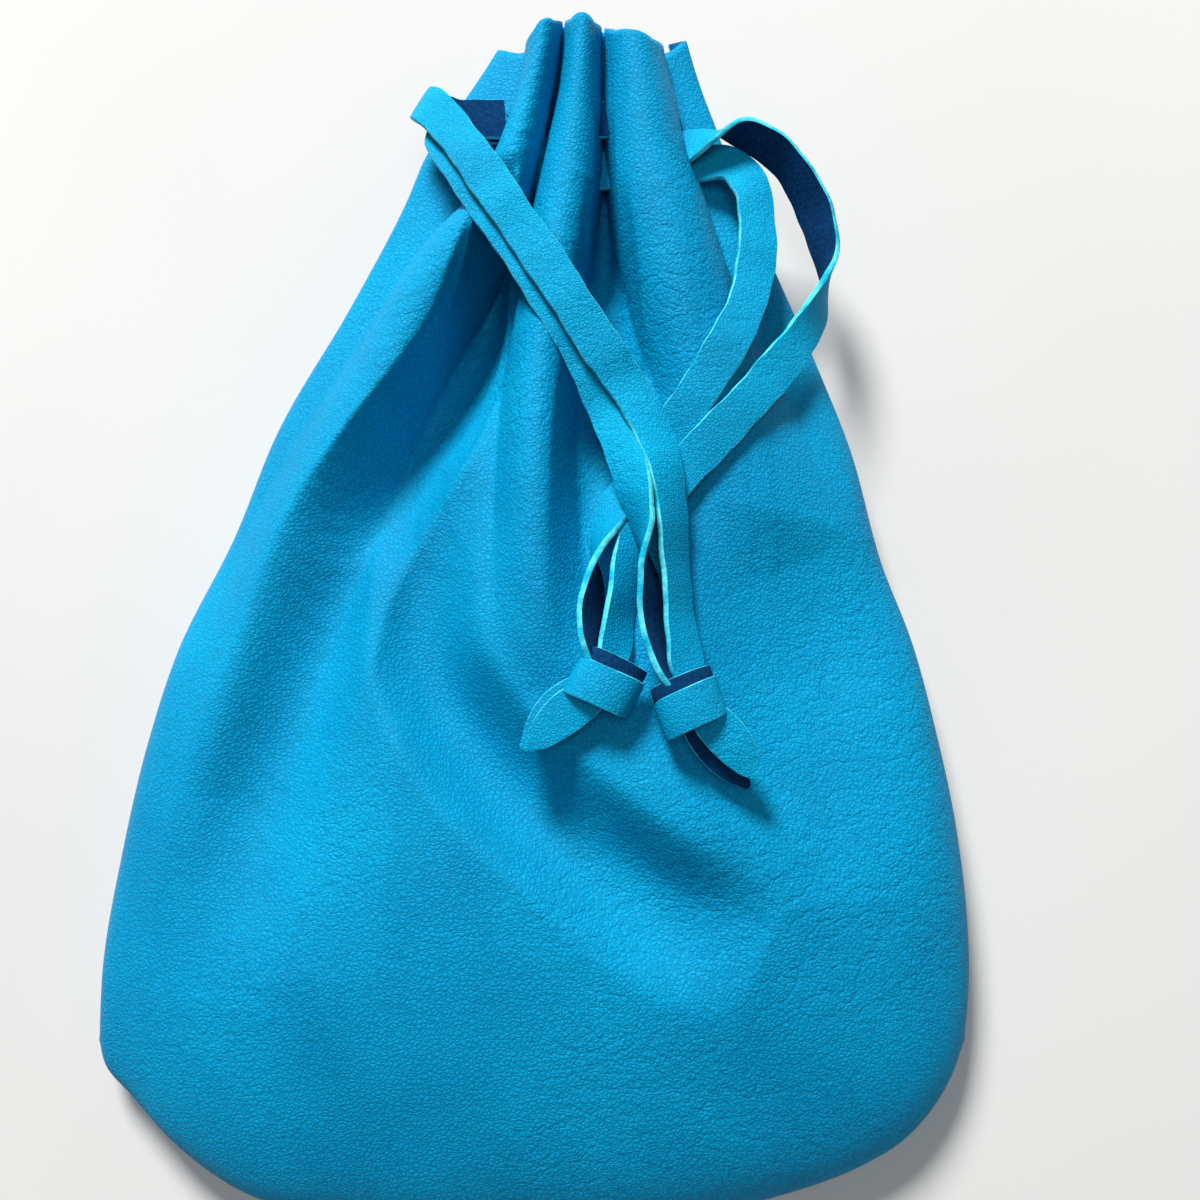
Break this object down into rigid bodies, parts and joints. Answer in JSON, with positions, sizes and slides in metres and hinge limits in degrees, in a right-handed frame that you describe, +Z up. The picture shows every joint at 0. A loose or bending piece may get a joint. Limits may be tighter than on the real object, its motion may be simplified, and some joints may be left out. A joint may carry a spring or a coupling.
{
  "type": "kinchaku drawstring pouch",
  "caption": "Soft leather drawstring pouch lying on its back, neck gathered into pleats by two flat laces, each knotted in front.",
  "frame": {"origin": "on the table, under the middle of the bag's box, laces left out", "axes": "+X across the bag, +Y from its bottom seam to its mouth, +Z up out of its front panel"},
  "size_m": [0.1699, 0.2354, 0.0388],
  "materials": {
    "panel_leather": "soft matte turquoise leather with a fine pebbled grain",
    "lace_leather": "turquoise leather, smooth on its grain side, suede on its flesh side, pale cut edges",
    "thread": "turquoise sewing thread"
  },
  "bodies": {
    "root": {"front_panel": "panel_leather", "back_panel": "panel_leather", "left_lace": "lace_leather", "right_lace": "lace_leather", "seam_thread": "thread"}
  },
  "joints": []
}
